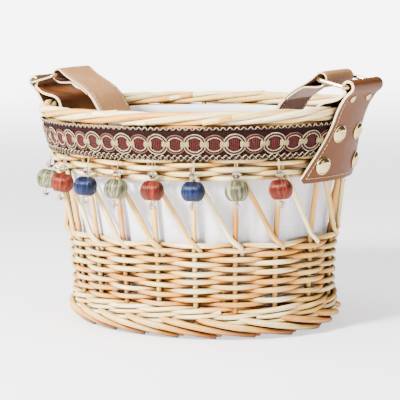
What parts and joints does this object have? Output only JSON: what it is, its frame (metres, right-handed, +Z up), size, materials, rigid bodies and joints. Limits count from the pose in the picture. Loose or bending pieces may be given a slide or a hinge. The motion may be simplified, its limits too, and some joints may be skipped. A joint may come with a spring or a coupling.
{
  "type": "lined wicker basket with handle",
  "caption": "Oval open wicker basket with a cloth lining, a leather strap handle on metal rings, a gimp braid round the rim and hanging thread-wound beads.",
  "frame": {"origin": "centre of the foot border's underside, on the surface that the basket stands on", "axes": "+X along the long axis toward one handle end, -Y toward the front, +Z up"},
  "size_m": [0.3222, 0.2344, 0.2091],
  "materials": {
    "willow": "peeled pale willow, dull gloss",
    "willow_base": "peeled willow, matte",
    "linen": "fine off-white plain weave",
    "gimp": "burgundy gimp braid with cream and pink cords",
    "camel_leather": "smooth camel leather, pale cut edges",
    "brass": "polished pale brass",
    "ring_metal": "pale brass wire",
    "silk_green": "glossy silk thread",
    "silk_red": "glossy silk thread",
    "silk_navy": "glossy silk thread"
  },
  "bodies": {
    "basket": {"base_panel": "willow_base", "braid_trim": "gimp", "fold_rivet_left_back": "brass", "fold_rivet_left_front": "brass", "fold_rivet_right_back": "brass", "fold_rivet_right_front": "brass", "foot_border": "willow", "leather_patch_left": "camel_leather", "leather_patch_right": "camel_leather", "lining": "linen", "lower_weave": "willow", "stake_lattice": "willow", "stud_left_lower_back": "brass", "stud_left_lower_front": "brass", "stud_left_upper_back": "brass", "stud_left_upper_front": "brass", "stud_right_lower_back": "brass", "stud_right_lower_front": "brass", "stud_right_upper_back": "brass", "stud_right_upper_front": "brass", "top_border": "willow", "upper_weave": "willow"},
    "ring_left": {"ring_left": "ring_metal"},
    "strap_end_left": {"strap_end_left": "camel_leather"},
    "strap_shoulder_left": {"strap_shoulder_left": "camel_leather"},
    "strap_slope_left": {"strap_slope_left": "camel_leather"},
    "strap_middle_left": {"strap_middle_left": "camel_leather"},
    "ring_right": {"ring_right": "ring_metal"},
    "strap_end_right": {"strap_end_right": "camel_leather"},
    "strap_shoulder_right": {"strap_shoulder_right": "camel_leather"},
    "strap_slope_right": {"strap_slope_right": "camel_leather"},
    "strap_middle_right": {"strap_middle_right": "camel_leather"},
    "bead_drop_01": {"bead_drop_01": "silk_green"},
    "bead_drop_02": {"bead_drop_02": "silk_red"},
    "bead_drop_03": {"bead_drop_03": "silk_navy"},
    "bead_drop_04": {"bead_drop_04": "silk_green"},
    "bead_drop_05": {"bead_drop_05": "silk_red"},
    "bead_drop_06": {"bead_drop_06": "silk_green"},
    "bead_drop_07": {"bead_drop_07": "silk_red"},
    "bead_drop_08": {"bead_drop_08": "silk_green"},
    "bead_drop_09": {"bead_drop_09": "silk_red"},
    "bead_drop_10": {"bead_drop_10": "silk_navy"},
    "bead_drop_11": {"bead_drop_11": "silk_green"},
    "bead_drop_12": {"bead_drop_12": "silk_red"},
    "bead_drop_13": {"bead_drop_13": "silk_green"},
    "bead_drop_14": {"bead_drop_14": "silk_red"},
    "bead_drop_15": {"bead_drop_15": "silk_navy"}
  },
  "joints": [
    {"name": "handle_lift", "type": "hinge", "parent": "basket", "child": "ring_left", "pos_m": [-0.15562, 0, 0.1976], "axis": [0, -1, 0], "range_deg": [0, 43]},
    {"name": "strap_end_left_turn", "type": "hinge", "parent": "ring_left", "child": "strap_end_left", "pos_m": [-0.13029, 0, 0.20345], "axis": [0, -1, 0], "range_deg": [0, 20.24]},
    {"name": "strap_shoulder_left_turn", "type": "hinge", "parent": "strap_end_left", "child": "strap_shoulder_left", "pos_m": [-0.09798, 0, 0.17973], "axis": [0, -1, 0], "range_deg": [0, 14.8]},
    {"name": "strap_slope_left_turn", "type": "hinge", "parent": "strap_shoulder_left", "child": "strap_slope_left", "pos_m": [-0.07924, 0, 0.15892], "axis": [0, -1, 0], "range_deg": [-38.02, 0]},
    {"name": "strap_middle_left_turn", "type": "hinge", "parent": "strap_slope_left", "child": "strap_middle_left", "pos_m": [-0.05587, 0, 0.14752], "axis": [0, -1, 0], "range_deg": [-40.02, 0]},
    {"name": "ring_right_turn", "type": "hinge", "parent": "basket", "child": "ring_right", "pos_m": [0.15562, 0, 0.1976], "axis": [0, 1, 0], "range_deg": [0, 43.02]},
    {"name": "strap_end_right_turn", "type": "hinge", "parent": "ring_right", "child": "strap_end_right", "pos_m": [0.13029, 0, 0.20345], "axis": [0, 1, 0], "range_deg": [0, 20.24]},
    {"name": "strap_shoulder_right_turn", "type": "hinge", "parent": "strap_end_right", "child": "strap_shoulder_right", "pos_m": [0.09798, 0, 0.17973], "axis": [0, 1, 0], "range_deg": [0, 14.8]},
    {"name": "strap_slope_right_turn", "type": "hinge", "parent": "strap_shoulder_right", "child": "strap_slope_right", "pos_m": [0.07924, 0, 0.15892], "axis": [0, 1, 0], "range_deg": [-38.02, 0]},
    {"name": "strap_middle_right_turn", "type": "hinge", "parent": "strap_slope_right", "child": "strap_middle_right", "pos_m": [0.05587, 0, 0.14752], "axis": [0, 1, 0], "range_deg": [-40.02, 0]},
    {"name": "bead_drop_01_swing", "type": "hinge", "parent": "basket", "child": "bead_drop_01", "pos_m": [-0.00616, -0.1042, 0.1431], "axis": [-0.9994, 0.0337, 0], "range_deg": [0, 70]},
    {"name": "bead_drop_02_swing", "type": "hinge", "parent": "basket", "child": "bead_drop_02", "pos_m": [0.02661, -0.10232, 0.1431], "axis": [-0.9891, -0.1469, 0], "range_deg": [0, 70]},
    {"name": "bead_drop_03_swing", "type": "hinge", "parent": "basket", "child": "bead_drop_03", "pos_m": [0.05846, -0.09431, 0.1431], "axis": [-0.9427, -0.3338, 0], "range_deg": [0, 70]},
    {"name": "bead_drop_04_swing", "type": "hinge", "parent": "basket", "child": "bead_drop_04", "pos_m": [0.08801, -0.07986, 0.1431], "axis": [-0.8463, -0.5328, 0], "range_deg": [0, 70]},
    {"name": "bead_drop_05_swing", "type": "hinge", "parent": "basket", "child": "bead_drop_05", "pos_m": [0.11322, -0.05857, 0.1431], "axis": [-0.6713, -0.7412, 0], "range_deg": [0, 70]},
    {"name": "bead_drop_06_swing", "type": "hinge", "parent": "basket", "child": "bead_drop_06", "pos_m": [0.0845, 0.08204, 0.1431], "axis": [0.8619, -0.5071, 0], "range_deg": [0, 70]},
    {"name": "bead_drop_07_swing", "type": "hinge", "parent": "basket", "child": "bead_drop_07", "pos_m": [0.05456, 0.09566, 0.1431], "axis": [0.9508, -0.3098, 0], "range_deg": [0, 70]},
    {"name": "bead_drop_08_swing", "type": "hinge", "parent": "basket", "child": "bead_drop_08", "pos_m": [0.02253, 0.10288, 0.1431], "axis": [0.9923, -0.1241, 0], "range_deg": [0, 70]},
    {"name": "bead_drop_09_swing", "type": "hinge", "parent": "basket", "child": "bead_drop_09", "pos_m": [-0.01027, 0.10401, 0.1431], "axis": [0.9984, 0.0563, 0], "range_deg": [0, 70]},
    {"name": "bead_drop_10_swing", "type": "hinge", "parent": "basket", "child": "bead_drop_10", "pos_m": [-0.04272, 0.09909, 0.1431], "axis": [0.971, 0.2391, 0], "range_deg": [0, 70]},
    {"name": "bead_drop_11_swing", "type": "hinge", "parent": "basket", "child": "bead_drop_11", "pos_m": [-0.07363, 0.08792, 0.1431], "axis": [0.9021, 0.4315, 0], "range_deg": [0, 70]},
    {"name": "bead_drop_12_swing", "type": "hinge", "parent": "basket", "child": "bead_drop_12", "pos_m": [-0.10133, 0.07009, 0.1431], "axis": [0.7711, 0.6368, 0], "range_deg": [0, 70]},
    {"name": "bead_drop_13_swing", "type": "hinge", "parent": "basket", "child": "bead_drop_13", "pos_m": [-0.09811, -0.0727, 0.1431], "axis": [-0.792, 0.6105, 0], "range_deg": [0, 70]},
    {"name": "bead_drop_14_swing", "type": "hinge", "parent": "basket", "child": "bead_drop_14", "pos_m": [-0.06989, -0.08967, 0.1431], "axis": [-0.9135, 0.4067, 0], "range_deg": [0, 70]},
    {"name": "bead_drop_15_swing", "type": "hinge", "parent": "basket", "child": "bead_drop_15", "pos_m": [-0.03871, -0.10005, 0.1431], "axis": [-0.9764, 0.2158, 0], "range_deg": [0, 70]}
  ],
  "couplings": [
    {"joint": "strap_end_left_turn", "follows": "handle_lift", "ratio": 0.47018},
    {"joint": "strap_shoulder_left_turn", "follows": "handle_lift", "ratio": 0.34377},
    {"joint": "strap_slope_left_turn", "follows": "handle_lift", "ratio": -0.88372},
    {"joint": "strap_middle_left_turn", "follows": "handle_lift", "ratio": -0.93023},
    {"joint": "ring_right_turn", "follows": "handle_lift", "ratio": 1},
    {"joint": "strap_end_right_turn", "follows": "handle_lift", "ratio": 0.47018},
    {"joint": "strap_shoulder_right_turn", "follows": "handle_lift", "ratio": 0.34377},
    {"joint": "strap_slope_right_turn", "follows": "handle_lift", "ratio": -0.88372},
    {"joint": "strap_middle_right_turn", "follows": "handle_lift", "ratio": -0.93023}
  ]
}
